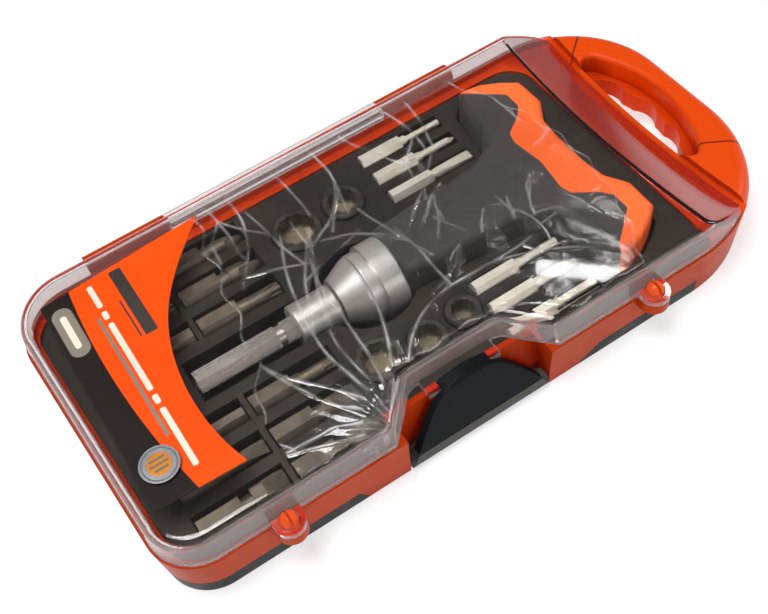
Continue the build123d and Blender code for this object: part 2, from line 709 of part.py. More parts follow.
def driver_parts():
    return {"handle_core": handle_core(), "handle_rubber_grip": rubber_grip(), "fine_bit_adapter": adapter(),
            "adapter_magnet": magnet(), "ratchet_spindle": spindle(), "ratchet_gear": ratchet_gear(),
            "spindle_clip": spindle_clip(), "ratchet_collar": collar(), "selector_ring": selector_ring(),
            "ratchet_pawls": pawl_blocks(0.0) - spring_space(), "pawl_spring": pawl_spring()}


# ---- Bits and sockets --------------------------------------------------------------------------

def bit_tip(form, radius, x0, x1, y, z):
    """The working end of a bit, cut from a round bar."""
    bar = rod(x0, x1, radius, y, z)
    if form == "slot":
        thick = 0.85 * radius
        blade = [(x0, z + thick), (x0 + radius, z + thick), (x1, z + BLADE), (x1, z - BLADE),
                 (x0 + radius, z - thick), (x0, z - thick)]
        return bar & along_y(blade, y - radius, y + radius)
    if form == "cross":
        point_x = x1 - 1.6 * radius
        tip = rod(x0, point_x, radius, y, z)
        tip += Pos((point_x + x1) / 2, y, z) * Rot(0, 90, 0) * Cone(radius, 0.25 * radius, x1 - point_x)
        side = FLUTE_SHARE * radius
        for angle in (45, 135, 225, 315):
            flute = Pos(x1 - 0.9 * radius, 0, side) * Rot(0, FLUTE_TILT, 0) * Box(2.6 * radius, side, side)
            tip -= Pos(0, y, z) * Rot(angle, 0, 0) * flute
        return tip
    if form == "star":
        for angle in range(0, 360, 60):
            flute = rod(x1 - 1.8 * radius, x1 + 1, 0.26 * radius, 0, 0.98 * radius)
            bar -= Pos(0, y, z) * Rot(angle, 0, 0) * flute
        return bar
    return hex_rod(x0, x1, 2 * radius, y, z)


def bit(tip, x, y, z, flats, length, shank):
    """A bit along +X: hexagonal shank, stepped neck and a working end."""
    name, tip_r = tip
    neck_x = x + shank + flats * 0.5
    body = hex_rod(x, x + shank, flats, y, z)
    body += rod(x + shank, neck_x, flats * NECK_SHARE, y, z)
    return body + bit_tip(name.split("_")[0], tip_r, neck_x, x + length, y, z)


def bit_places():
    """The tip and place of each quarter-inch bit."""
    places = []
    for tips, x in zip(BIT_TIPS, BIT_COLUMNS):
        for tip, y in zip(tips, BIT_ROWS):
            places.append((tip, x, DRIVER_Y + y))
    return places


def fine_places():
    return [(tip, FINE_X, DRIVER_Y + y) for tip, y in zip(FINE_TIPS, FINE_ROWS)]


def hexagon(flats, x, y, turn=0):
    return Pos(x, y) * Rot(0, 0, turn) * RegularPolygon(flats / 2, 6, major_radius=False)


def socket(flats, x, y):
    """A socket standing on end: a twelve-point mouth on top and a small hex drive below."""
    radius = socket_radius(flats)
    top = SOCKET_FLOOR + SOCKET_HEIGHT
    bore = top - SOCKET_BORE_DEPTH
    body = slab(Pos(x, y) * Circle(radius), SOCKET_FLOOR, top)
    body = chamfer(round_edges(body, radius), SOCKET_BEVEL)
    for turn in (0, 30):
        body -= slab(hexagon(flats, x, y, turn), bore, top + 1)
    return body - slab(hexagon(FINE_AF + 2 * HEX_FIT, x, y), SOCKET_FLOOR - 1, bore - SOCKET_WEB)


def socket_radius(flats):
    return flats / 2 / math.cos(math.radians(30)) + SOCKET_WALL


# ---- Tray ----------------------------------------------------------------------------------------

def bit_trough(x, y, z, flats, length, skin):
    """The straight recess of one bit, grown by the tray's skin."""
    side = BIT_GAP + skin
    wide = flats / 2 / math.cos(math.radians(30)) + side
    low = (x - side, y - wide, z - flats / 2 - skin)
    return block(low, (x + length + side, y + wide, TRAY_TOP + 1))


def tray_pockets(skin):
    """Every recess of the tray, grown by the tray's skin when it is the recess's outside."""
    pockets = [bit_trough(x, y, BIT_Z, BIT_AF, BIT_LENGTH, skin) for tip, x, y in bit_places()]
    pockets += [bit_trough(x, y, FINE_Z, FINE_AF, FINE_LENGTH, skin) for tip, x, y in fine_places()]
    for flats, x, y in SOCKETS:
        hole = Pos(x, y + DRIVER_Y) * Circle(socket_radius(flats) + SOCKET_GAP + skin)
        pockets.append(slab(hole, SOCKET_FLOOR - skin, TRAY_TOP + 1))
    return pockets


def driver_recess(skin):
    floor = DRIVER_Z - HANDLE_HALF - skin
    shape = handle_solid(RECESS_GAP + skin, HANDLE_HALF)
    face = shape.faces().sort_by(Axis.Z)[-1]
    recess = slab(Pos(0, 0, -face.center().Z) * face, floor, TRAY_TOP + 1)
    chuck_x = (COLLAR_X + HANDLE_X) / 2
    chuck_r = math.hypot(HANDLE_X - chuck_x, RING_R) + TRAY_GAP + skin
    chuck = slab(Pos(chuck_x, DRIVER_Y) * Circle(chuck_r), TRAY_LOW if skin else TRAY_LOW - 1, TRAY_TOP + 1)
    wide = SPINDLE_R + RECESS_GAP + skin
    trough = block((ADAPTER_X - RECESS_GAP - skin, DRIVER_Y - wide, DRIVER_Z - wide),
                   (COLLAR_X, DRIVER_Y + wide, TRAY_TOP + 1))
    return [recess, chuck, trough]


def bit_tray():
    deck = tray_space(0.0, TRAY_TOP - TRAY_SKIN, TRAY_TOP)
    skirt = tray_space(0.0, TRAY_LOW, TRAY_TOP) - tray_space(-TRAY_SKIN, TRAY_LOW - 1, TRAY_TOP + 1)
    tray = deck + skirt
    inside = tray_space(0.0, TRAY_LOW, TRAY_TOP)
    for shape in tray_pockets(TRAY_SKIN) + driver_recess(TRAY_SKIN):
        tray += shape & inside
    wall = housing_box(TRAY_GAP + TRAY_SKIN) & inside
    tray += wall
    for shape in tray_pockets(0.0) + driver_recess(0.0):
        tray -= shape
    return tray - housing_box(TRAY_GAP)


def main():
    os.makedirs("parts", exist_ok=True)
    frame = base_frame()
    grip = handle_loop() & grip_zone()
    parts = {
        "base_frame": frame,
        "carry_grip": grip,
        "bottom_shell": bottom_shell(),
        "bit_tray": bit_tray(),
        "lid": lid(),
        "hinge_pin": hinge_pin(),
        "latch": latch(),
        "latch_pin": latch_pin(),
        "snap_pegs": snap_pegs(),
        "label_card": label_card(),
        "label_sticker": label_sticker(),
        "shrink_film": shrink_film(),
    }
    parts.update(driver_parts())
    for tip, x, y in bit_places():
        parts["bit_" + tip[0]] = bit(tip, x, y, BIT_Z, BIT_AF, BIT_LENGTH, BIT_SHANK)
    for tip, x, y in fine_places():
        parts["fine_bit_" + tip[0]] = bit(tip, x, y, FINE_Z, FINE_AF, FINE_LENGTH, FINE_SHANK)
    for flats, x, y in SOCKETS:
        parts["socket_%d" % flats] = socket(flats, x, y + DRIVER_Y)
    box = parts["base_frame"].bounding_box()
    centre = Pos(-box.center().X, 0, 0)
    for name, shape in parts.items():
        export_step(centre * shape, "parts/%s.step" % name)


main()
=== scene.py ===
"""Looks for the screwdriver set: camera, light, materials, the card's print and the shrink film."""
import json
import math
import random

import bpy
import numpy as np
from mathutils import Matrix, Vector


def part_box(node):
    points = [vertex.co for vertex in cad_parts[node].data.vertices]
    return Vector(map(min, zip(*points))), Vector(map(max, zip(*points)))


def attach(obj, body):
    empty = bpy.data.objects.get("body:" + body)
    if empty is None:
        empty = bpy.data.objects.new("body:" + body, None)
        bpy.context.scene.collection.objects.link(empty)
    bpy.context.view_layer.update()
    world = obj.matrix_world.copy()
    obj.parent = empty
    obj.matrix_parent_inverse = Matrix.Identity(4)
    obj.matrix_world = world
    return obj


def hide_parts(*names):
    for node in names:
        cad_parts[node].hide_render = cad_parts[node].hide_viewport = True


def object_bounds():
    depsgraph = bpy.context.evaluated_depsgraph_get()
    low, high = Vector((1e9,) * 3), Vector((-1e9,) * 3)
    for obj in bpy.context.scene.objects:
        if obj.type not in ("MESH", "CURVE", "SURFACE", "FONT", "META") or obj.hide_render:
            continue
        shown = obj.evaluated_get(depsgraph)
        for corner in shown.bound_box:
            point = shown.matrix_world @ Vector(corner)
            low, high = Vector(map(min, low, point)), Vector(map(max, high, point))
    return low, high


# Lengths are in millimetres unless a comment says metres, and MM turns them into metres.
MM = 0.001

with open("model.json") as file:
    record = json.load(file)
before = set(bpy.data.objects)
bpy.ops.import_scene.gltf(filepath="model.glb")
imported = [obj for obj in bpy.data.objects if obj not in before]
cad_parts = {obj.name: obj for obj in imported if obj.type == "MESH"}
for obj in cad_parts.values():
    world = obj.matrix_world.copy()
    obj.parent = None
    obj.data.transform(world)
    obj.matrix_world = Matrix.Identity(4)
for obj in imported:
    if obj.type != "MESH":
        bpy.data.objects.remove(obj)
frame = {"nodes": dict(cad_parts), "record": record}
cad_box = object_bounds()
scene = bpy.context.scene


def srgb(red, green, blue):
    """A linear colour from 0 to 255 screen values."""
    def linear(value):
        value /= 255
        return value / 12.92 if value <= 0.04045 else ((value + 0.055) / 1.055) ** 2.4
    return linear(red), linear(green), linear(blue), 1.0


# ---- Camera and light ----------------------------------------------------------------------------

# The camera's lens and sensor width, and in metres its nearest distance and its place.
LENS = 51.42
SENSOR = 36
NEAREST = 0.01
CAMERA_RIGHT = (0.83672, -0.53793, -0.10260)
CAMERA_UP = (0.49249, 0.65722, 0.57054)
CAMERA_BACK = (-0.23948, -0.52792, 0.81483)
CAMERA_PLACE = (-0.08588, -0.1671, 0.25777)

# The sky is brighter near the horizon. Its turn is given as the Z of a direction.
SKY_LOW = 0.3
SKY_HIGH = 0.04
SKY_TURN = (0.3, 0.65)

# Each lamp: name, place, aim, width and height in metres, watts.
LAMPS = (
    ("key_light", (-0.2, 0.0, 0.8), (0, 0, 0), (0.4, 0.4), 5.6),
    ("right_light", (0.75, -0.1, 0.45), (0.03, 0, 0), (0.15, 0.6), 1.5),
    ("front_light", (0.1, -0.85, 0.4), (0, 0, 0), (0.9, 0.2), 1.5),
    ("streak_light", (0.41, 0.345, 0.75), (0.034, -0.043, 0.026), (0.15, 0.016), 0.16),
)


def make_camera():
    data = bpy.data.cameras.new("camera")
    data.lens = LENS
    data.sensor_width = SENSOR
    data.clip_start = NEAREST
    camera = bpy.data.objects.new("camera", data)
    scene.collection.objects.link(camera)
    columns = (CAMERA_RIGHT, CAMERA_UP, CAMERA_BACK, CAMERA_PLACE)
    rows = [[column[i] for column in columns] for i in range(3)]
    camera.matrix_world = Matrix(rows + [[0, 0, 0, 1]])
    scene.camera = camera


def make_sky():
    world = bpy.data.worlds.new("studio")
    world.use_nodes = True
    scene.world = world
    tree = world.node_tree
    background = tree.nodes["Background"]
    direction = tree.nodes.new("ShaderNodeTexCoord")
    height = tree.nodes.new("ShaderNodeSeparateXYZ")
    fade = tree.nodes.new("ShaderNodeMapRange")
    limits = (*SKY_TURN, SKY_LOW, SKY_HIGH)
    for key, number in zip(("From Min", "From Max", "To Min", "To Max"), limits):
        fade.inputs[key].default_value = number
    tree.links.new(direction.outputs["Generated"], height.inputs[0])
    tree.links.new(height.outputs["Z"], fade.inputs["Value"])
    tree.links.new(fade.outputs["Result"], background.inputs["Strength"])
    background.inputs["Color"].default_value = (1, 1, 1, 1)


def soft_light(name, at, aim, size, watts):
    data = bpy.data.lights.new(name, "AREA")
    data.shape = "RECTANGLE"
    data.size, data.size_y = size
    data.energy = watts
    light = bpy.data.objects.new(name, data)
    scene.collection.objects.link(light)
    light.location = at
    light.rotation_euler = (Vector(aim) - Vector(at)).to_track_quat("-Z", "Y").to_euler()


make_camera()
scene.view_settings.view_transform = "Standard"
make_sky()
for lamp in LAMPS:
    soft_light(*lamp)


# ---- Material helpers ----------------------------------------------------------------------------

# Spans of a noise's values, where most of them lie.
MIDDLE = (0.3, 0.7)
TONE = (0.35, 0.7)


class Nodes:
    """A material's node tree, with short calls to add and join its nodes."""

    def __init__(self, name):
        self.material = bpy.data.materials.new(name)
        self.material.use_nodes = True
        self.tree = self.material.node_tree
        self.shader = self.tree.nodes["Principled BSDF"]
        self.output = self.tree.nodes["Material Output"]
        self.place = self.add("ShaderNodeTexCoord").outputs["Object"]

    def add(self, kind, **values):
        node = self.tree.nodes.new(kind)
        for key, value in values.items():
            setattr(node, key, value)
        return node

    def join(self, source, target):
        self.tree.links.new(source, target)

    def feed(self, socket, value):
        """Joins a socket to an output, or sets it to a constant."""
        if hasattr(value, "is_output"):
            self.join(value, socket)
        else:
            socket.default_value = value

    def noise(self, size_mm, detail=2.0, rough=0.5, stretch=(1, 1, 1)):
        """Noise over object coordinates, which are first multiplied along each axis."""
        scaled = self.add("ShaderNodeMapping", vector_type="POINT")
        scaled.inputs["Scale"].default_value = stretch
        self.join(self.place, scaled.inputs["Vector"])
        node = self.add("ShaderNodeTexNoise")
        node.inputs["Scale"].default_value = 1 / (size_mm * MM)
        node.inputs["Detail"].default_value = detail
        node.inputs["Roughness"].default_value = rough
        self.join(scaled.outputs["Vector"], node.inputs["Vector"])
        return node.outputs["Fac"]

    def remap(self, value, low, high, start=0.0, end=1.0):
        """Goes from low to high while the value goes from start to end."""
        node = self.add("ShaderNodeMapRange")
        for key, number in zip(("From Min", "From Max", "To Min", "To Max"), (start, end, low, high)):
            node.inputs[key].default_value = number
        self.join(value, node.inputs["Value"])
        return node.outputs["Result"]

    def patchy(self, size_mm, first, second, detail=3.0, span=TONE):
        """A colour that drifts between two close tones."""
        return self.blend(self.remap(self.noise(size_mm, detail), 0, 1, *span), first, second)

    def blend(self, share, first, second):
        """A mix of two colours, each a socket or a constant."""
        node = self.add("ShaderNodeMix", data_type="RGBA")
        self.join(share, node.inputs[0])
        self.feed(node.inputs[6], first)
        self.feed(node.inputs[7], second)
        return node.outputs[2]

    def bump(self, height, depth_mm, strength=1.0, normal=None):
        node = self.add("ShaderNodeBump")
        node.inputs["Distance"].default_value = depth_mm * MM
        node.inputs["Strength"].default_value = strength
        self.join(height, node.inputs["Height"])
        if normal is not None:
            self.join(normal, node.inputs["Normal"])
        return node.outputs["Normal"]

    def rounded(self, radius_mm):
        """A normal that rounds sharp edges."""
        node = self.add("ShaderNodeBevel", samples=8)
        node.inputs["Radius"].default_value = radius_mm * MM
        return node.outputs["Normal"]

    def math(self, operation, first, second=0.0):
        """One step of arithmetic on two sockets or numbers."""
        node = self.add("ShaderNodeMath", operation=operation)
        self.feed(node.inputs[0], first)
        self.feed(node.inputs[1], second)
        return node.outputs[0]

    def axes(self, vector=None):
        """The X, Y and Z of a vector, or of the object coordinates."""
        node = self.add("ShaderNodeSeparateXYZ")
        self.join(self.place if vector is None else vector, node.inputs[0])
        return node.outputs["X"], node.outputs["Y"], node.outputs["Z"]

    def part(self, kind, **values):
        """A shader of its own, with its sockets fed."""
        node = self.add(kind)
        for key, value in values.items():
            self.feed(node.inputs[key], value)
        return node.outputs[0]

    def mix(self, share, first, second):
        """A mix of two shaders."""
        node = self.add("ShaderNodeMixShader")
        self.feed(node.inputs[0], share)
        self.join(first, node.inputs[1])
        self.join(second, node.inputs[2])
        return node.outputs[0]

    def set(self, **values):
        """Feeds the main shader's sockets; an underscore stands for a space in a socket's name."""
        for key, value in values.items():
            self.feed(self.shader.inputs[key.replace("_", " ")], value)

    def show(self, surface):
        """Uses another shader than the main one as the surface."""
        self.join(surface, self.output.inputs["Surface"])
        return self.material


def plastic(name, colour, second, rough=(0.3, 0.42), grain_mm=0.6, grain_depth=0.01, edge=0.35, gloss=0.28):
    """Moulded plastic: slightly uneven colour and shine, a fine grain and soft edges."""
    n = Nodes(name)
    n.set(Base_Color=n.patchy(22, srgb(*colour), srgb(*second)))
    n.set(Roughness=n.remap(n.noise(6, 4.0), *rough, *MIDDLE), Specular_IOR_Level=gloss)
    n.set(Normal=n.bump(n.noise(grain_mm, 4.0, 0.6), grain_depth, 0.6, n.rounded(edge)))
    return n.material


def metal(name, colour, second, rough, brush=(1, 1, 1), brush_mm=0.5, depth=0.006, edge=0.15, bare=1.0):
    """Bare metal: uneven tint and shine, with fine marks stretched along an axis."""
    n = Nodes(name)
    marks = n.noise(brush_mm, 5.0, 0.65, brush)
    n.set(Base_Color=n.patchy(6, srgb(*colour), srgb(*second), 4.0, MIDDLE), Metallic=bare)
    n.set(Roughness=n.remap(marks, *rough, *MIDDLE))
    n.set(Normal=n.bump(marks, depth, 0.7, n.rounded(edge)))
    return n.material


def turned(name, colour, second, rough):
    """Satin metal with fine turning rings about the X axis."""
    n = Nodes(name)
    rings = n.noise(0.35, 3.0, 0.6, (1, 0.02, 0.02))
    n.set(Base_Color=n.patchy(7, srgb(*colour), srgb(*second), 3.0, MIDDLE), Metallic=0.8)
    n.set(Roughness=n.remap(rings, *rough, *MIDDLE))
    n.set(Normal=n.bump(rings, 0.0012, 0.5, n.rounded(0.25)))
    return n.material


def rubber():
    """Soft dark grip with small dimples."""
    n = Nodes("grip_rubber")
    dimples = n.add("ShaderNodeTexVoronoi")
    dimples.inputs["Scale"].default_value = 1 / (DIMPLE_MM * MM)
    n.join(n.place, dimples.inputs["Vector"])
    n.set(Base_Color=n.blend(n.noise(9, 4.0), srgb(48, 45, 43), srgb(38, 36, 35)))
    n.set(Roughness=n.remap(n.noise(2.5), 0.55, 0.75, *MIDDLE), Sheen_Weight=0.05, Sheen_Roughness=0.5)
    n.set(Normal=n.bump(dimples.outputs["Distance"], 0.03, 0.5, n.rounded(0.8)))
    return n.material


def clear():
    """Clear moulding: it bends what is seen through it, lets lamps through and turns hazy on its walls."""
    n = Nodes("clear_plastic")
    n.set(Roughness=0.03, IOR=1.45, Transmission_Weight=1.0)
    n.set(Normal=n.bump(n.noise(30, 2.0), 0.03, 0.5))
    level = n.math("ABSOLUTE", n.axes(n.add("ShaderNodeTexCoord").outputs["Normal"])[2])
    haziness = n.remap(level, WALL_HAZE, TOP_HAZE, 0.3, 0.7)
    shade = n.blend(n.remap(level, 0, 1, 0.92, 0.985), WALL_TINT, TOP_TINT)
    n.set(Base_Color=shade)
    haze = n.part("ShaderNodeBsdfDiffuse", Color=HAZE_COLOUR)
    glow = n.part("ShaderNodeBsdfTranslucent", Color=HAZE_COLOUR)
    body = n.mix(haziness, n.shader.outputs[0], n.mix(0.5, haze, glow))
    open_shadow = n.part("ShaderNodeBsdfTransparent", Color=shade)
    return n.show(n.mix(n.add("ShaderNodeLightPath").outputs["Is Shadow Ray"], body, open_shadow))


def film():
    """Thin clear film: see-through, with sharp shine that grows edge-on, and milky along its creases."""
    n = Nodes("clear_film")
    n.tree.nodes.remove(n.shader)
    bumped = n.bump(n.noise(2.2, 3.0), 0.12, 0.6)
    through = n.part("ShaderNodeBsdfTransparent", Color=(0.94, 0.94, 0.94, 1))
    shine = n.part("ShaderNodeBsdfGlossy", Color=(1, 1, 1, 1), Roughness=0.12, Normal=bumped)
    edge_on = n.add("ShaderNodeLayerWeight")
    n.join(bumped, edge_on.inputs["Normal"])
    shine_share = n.remap(n.math("POWER", edge_on.outputs["Facing"], 4.0), 0.07, 0.85)
    milk = n.part("ShaderNodeBsdfDiffuse", Color=(0.85, 0.83, 0.82, 1))
    crease = n.add("ShaderNodeAttribute", attribute_name=CREASE)
    fading = n.remap(n.noise(9.0, 2.0), 0.1, 0.8, 0.36, 0.66)
    milk_share = n.math("MULTIPLY", crease.outputs["Fac"], fading)
    return n.show(n.mix(milk_share, n.mix(shine_share, through, shine), milk))


def case_orange(name, tub_colour, tub_second):
    """The case's orange: brighter on the carry handle, with painted shade turning it deep red in hollows,
    and the grip's two seams.
    """
    n = Nodes(name)
    x, y = n.axes()[:2]
    handle = n.remap(x, 0, 1, HANDLE_STARTS * MM, HANDLE_FULL * MM)
    colour = n.blend(handle, n.patchy(22, tub_colour, tub_second), srgb(238, 76, 6))
    # Painted shade: ambient occlusion turns the orange deep red in hollows, creases and the handle's
    # opening.
    painted_shade_ao = n.add("ShaderNodeAmbientOcclusion", samples=8)
    painted_shade_ao.inputs["Distance"].default_value = PAINTED_SHADE_REACH * MM
    colour = n.blend(n.remap(painted_shade_ao.outputs["AO"], 0.85, 0.0, 0.25, 0.9), colour, srgb(150, 22, 4))
    angle = n.math("ARCTAN2", n.math("SUBTRACT", y, LOOP_Y * MM), n.math("SUBTRACT", x, LOOP_X * MM))
    from_middle = n.math("ABSOLUTE", n.math("SUBTRACT", angle, math.radians(GRIP_MIDDLE)))
    from_seam = n.math("ABSOLUTE", n.math("SUBTRACT", from_middle, math.radians(GRIP_HALF)))
    seam = n.math("MULTIPLY", n.remap(from_seam, 1, 0, *SEAM_EDGES), handle)
    n.set(Base_Color=n.blend(n.math("MULTIPLY", seam, 0.8), colour, srgb(96, 20, 6)))
    n.set(Roughness=n.remap(n.noise(6, 4.0), 0.3, 0.4, *MIDDLE))
    n.set(Specular_IOR_Level=n.remap(handle, 0.06, 0.16))
    grain = n.bump(n.noise(1.5, 2.0), 0.006, 0.5, n.rounded(0.45))
    n.set(Normal=n.bump(n.math("SUBTRACT", 1.0, seam), 0.25, 1.0, grain))
    return n.material


def latch_plastic():
    """The latch's dark plastic, with painted light making the band below its groove paler."""
    n = Nodes("slate_plastic")
    # Painted light: the band below the groove is paler, as if it caught the light from the front.
    band = n.remap(n.axes()[2], 1, 0, *(height * MM for height in LATCH_PAINTED_LIGHT_BAND))
    n.set(Base_Color=n.blend(band, n.patchy(18, srgb(16, 20, 22), srgb(12, 16, 18)), srgb(66, 66, 61)))
    n.set(Roughness=n.remap(n.noise(5, 4.0), 0.32, 0.46, *MIDDLE), Specular_IOR_Level=0.12)
    n.set(Normal=n.bump(n.noise(0.6, 4.0, 0.6), 0.02, 0.6, n.rounded(0.35)))
    return n.material


def socket_steel():
    """Dark nickel outside, with the paler floor of the bore showing down inside."""
    n = Nodes("socket_steel")
    deep = n.remap(n.axes()[2], 1, 0, *(height * MM for height in BORE_FLOOR))
    outside = n.patchy(4, srgb(92, 88, 82), srgb(66, 63, 60), 4.0, MIDDLE)
    n.set(Base_Color=n.blend(deep, outside, srgb(124, 114, 92)), Metallic=n.remap(deep, 0.85, 0.1))
    n.set(Roughness=n.remap(n.noise(0.8, 3.0), 0.32, 0.46, *MIDDLE))
    n.set(Normal=n.bump(n.noise(0.5, 3.0), 0.003, 0.5, n.rounded(0.2)))
    return n.material


def card_stock():
    """The card's orange, with the black strip whose right side is a parabola."""
    n = Nodes("card_print")
    x, y = n.axes()[:2]
    across = n.math("SUBTRACT", y, STRIP_MIDDLE * MM)
    bow = n.math("MULTIPLY", n.math("MULTIPLY", across, across), STRIP_BOW / MM)
    edge = (STRIP_X * MM - STRIP_SOFT * MM, STRIP_X * MM + STRIP_SOFT * MM)
    strip = n.remap(n.math("SUBTRACT", x, bow), 1, 0, *edge)
    tone = n.remap(n.noise(30, 3.0), 0, 1, *TONE)
    orange = n.blend(tone, srgb(244, 98, 2), srgb(240, 92, 2))
    black = n.blend(tone, srgb(44, 38, 34), srgb(36, 31, 28))
    n.set(Base_Color=n.blend(strip, orange, black), Specular_IOR_Level=0.15)
    n.set(Roughness=n.remap(n.noise(5, 3.0), 0.4, 0.5, *MIDDLE))
    n.set(Normal=n.bump(n.noise(1.2, 3.0), 0.002, 0.5))
    return n.material


# ---- Materials -----------------------------------------------------------------------------------

# The carry handle: where its brighter orange begins along X, the middle of its opening in mm, and
# the grip's middle and half width in degrees about that middle, with a seam's edges in radians.
HANDLE_STARTS = 79
HANDLE_FULL = 83
LOOP_X = 50.17
LOOP_Y = 5.0
GRIP_MIDDLE = 4
GRIP_HALF = 36
SEAM_EDGES = (0.003, 0.007)
# How far, in mm, the case's painted shade in hollows reaches.
PAINTED_SHADE_REACH = 9

# Heights in mm at which a look changes: above the latch's lower band, which has painted light, and above a
# socket's floor.
LATCH_PAINTED_LIGHT_BAND = (6.2, 6.5)
BORE_FLOOR = (10.8, 11.6)

# The black strip on the card: its right side at the middle, its bow per mm, and its soft edge.
STRIP_X = -85.85
STRIP_MIDDLE = 12
STRIP_BOW = 0.0021
STRIP_SOFT = 0.04

DIMPLE_MM = 1.1
WALL_HAZE = 0.15
TOP_HAZE = 0.004
WALL_TINT = (0.8, 0.74, 0.74, 1)
TOP_TINT = (0.97, 0.95, 0.945, 1)
HAZE_COLOUR = (0.8, 0.77, 0.76, 1)
CREASE = "crease"

INK = dict(rough=(0.35, 0.45), grain_mm=1.2, grain_depth=0.004, edge=0.01)
FOIL = dict(brush_mm=0.4, depth=0.001)

LOOKS = {
    "orange_plastic": case_orange("orange_plastic", srgb(190, 64, 7), srgb(178, 57, 5)),
    "bright_orange_plastic": case_orange("bright_orange_plastic", srgb(238, 76, 6), srgb(234, 72, 5)),
    "black_plastic": plastic("black_plastic", (28, 27, 28), (22, 21, 22), (0.35, 0.5), gloss=0.15),
    "dark_tray_plastic": plastic("dark_tray_plastic", (46, 41, 36), (33, 30, 27), (0.45, 0.6),
                                 grain_mm=0.5, grain_depth=0.02, edge=0.5, gloss=0.15),
    "slate_plastic": latch_plastic(),
    "peg_plastic": plastic("peg_plastic", (238, 84, 18), (226, 74, 12), (0.3, 0.4)),
    "card_print": card_stock(),
    "card_black": plastic("card_black", (46, 41, 37), (40, 36, 33), **INK),
    "card_grey": plastic("card_grey", (122, 116, 104), (112, 107, 96), **INK),
    "card_white": plastic("card_white", (222, 212, 196), (212, 202, 186), **INK),
    "sticker_gold": metal("sticker_gold", (232, 150, 60), (214, 130, 44), (0.3, 0.4), bare=0.3, **FOIL),
    "handle_orange": plastic("handle_orange", (224, 98, 38), (214, 88, 30), (0.36, 0.5),
                             grain_mm=0.7, grain_depth=0.015, edge=0.4),
    "silver_foil": metal("silver_foil", (176, 182, 190), (150, 158, 168), (0.25, 0.4), bare=0.4, **FOIL),
    "bright_steel": metal("bright_steel", (206, 201, 194), (190, 185, 178), (0.26, 0.3), (0.05, 1, 1),
                          brush_mm=1.5, depth=0.0001, edge=0.04, bare=0.85),
    "pin_steel": metal("pin_steel", (168, 168, 168), (150, 150, 152), (0.25, 0.4), (0.1, 1, 1),
                       brush_mm=0.3, depth=0.002),
    "magnet_metal": metal("magnet_metal", (110, 110, 112), (96, 96, 98), (0.3, 0.5)),
    "satin_aluminium": turned("satin_aluminium", (204, 204, 200), (194, 194, 190), (0.34, 0.44)),
    "ring_aluminium": turned("ring_aluminium", (214, 214, 210), (204, 204, 200), (0.32, 0.42)),
    "bit_steel": metal("bit_steel", (112, 104, 90), (82, 76, 66), (0.38, 0.52),
                       brush_mm=0.35, depth=0.003, bare=0.7),
    "fine_bit_steel": metal("fine_bit_steel", (242, 240, 226), (228, 225, 206), (0.26, 0.42), (0.3, 1, 1),
                            brush_mm=0.3, depth=0.002, bare=0.6),
    "socket_steel": socket_steel(),
    "grip_rubber": rubber(),
    "clear_plastic": clear(),
    "clear_film": film(),
}

for entry in frame["record"]["subparts"]:
    node = frame["nodes"][entry["node"]]
    node.data.materials.clear()
    node.data.materials.append(LOOKS[entry["material_slot"]])


# ---- Building helpers ----------------------------------------------------------------------------

def box_mm(node):
    low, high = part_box(node)
    return [v / MM for v in low], [v / MM for v in high]


def mesh_piece(name, vertices, faces, look, smooth=True):
    """A new mesh object that rides on the lid; vertices are in millimetres."""
    data = bpy.data.meshes.new(name)
    data.from_pydata([Vector(v) * MM for v in vertices], [], faces)
    data.validate()
    data.polygons.foreach_set("use_smooth", [smooth] * len(data.polygons))
    data.materials.append(LOOKS[look])
    piece = bpy.data.objects.new(name, data)
    scene.collection.objects.link(piece)
    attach(piece, "lid")
    return piece


def plate(name, outline, low, high, look):
    """A thin flat print or label with an outline in X and Y, counter-clockwise."""
    count = len(outline)
    vertices = [(x, y, low) for x, y in outline] + [(x, y, high) for x, y in outline]
    faces = [list(range(count))[::-1], list(range(count, 2 * count))]
    faces += [(i, (i + 1) % count, count + (i + 1) % count, count + i) for i in range(count)]
    mesh_piece(name, vertices, faces, look, False)


def oblong(x0, x1, y0, y1, corner=0.0):
    """A box outline, counter-clockwise, with rounded corners if asked."""
    if not corner:
        return [(x0, y0), (x1, y0), (x1, y1), (x0, y1)]
    points = []
    centres = ((x1 - corner, y1 - corner), (x0 + corner, y1 - corner),
               (x0 + corner, y0 + corner), (x1 - corner, y0 + corner))
    for quarter, (cx, cy) in enumerate(centres):
        for step in range(CORNER_STEPS + 1):
            angle = math.pi / 2 * (quarter + step / CORNER_STEPS)
            points.append((cx + corner * math.cos(angle), cy + corner * math.sin(angle)))
    return points


# ---- Print on the card and the sticker -----------------------------------------------------------

CORNER_STEPS = 6
DISC_STEPS = 48

# An ink stands this far below and above the face it is printed on, in mm.
INK_DEPTH = 0.02
INK_HEIGHT = 0.02

# A line of plain bars, from the far end: its sides from the card's left edge, and each bar's length.
BAR_SIDES = (13.3, 14.9)
BAR_FAR = 37.5
BAR_LENGTHS = (8.5, 3.0, 25.5, 3.0, 19.5)
BAR_CORNER = 0.6
BAR_SPACE = 1.6

# Other patches: name, X from the card's left edge, Y, corner, look and extra height.
PATCHES = (
    ("print_pill", (1.3, 7.0), (17.5, 35.5), 2.8, "card_grey", 0.01),
    ("print_pill_bar", (3.2, 5.0), (20.4, 32.6), 0.85, "card_white", 0.02),
    ("print_grey_line", (11.4, 12.4), (-17.0, 26.0), 0.0, "card_grey", 0.0),
    ("print_black_block", (20.4, 24.0), (13.5, 38.6), 0.5, "card_black", 0.0),
    ("print_thin_line", (19.0, 19.5), (14.0, 28.0), 0.0, "card_black", 0.0),
)

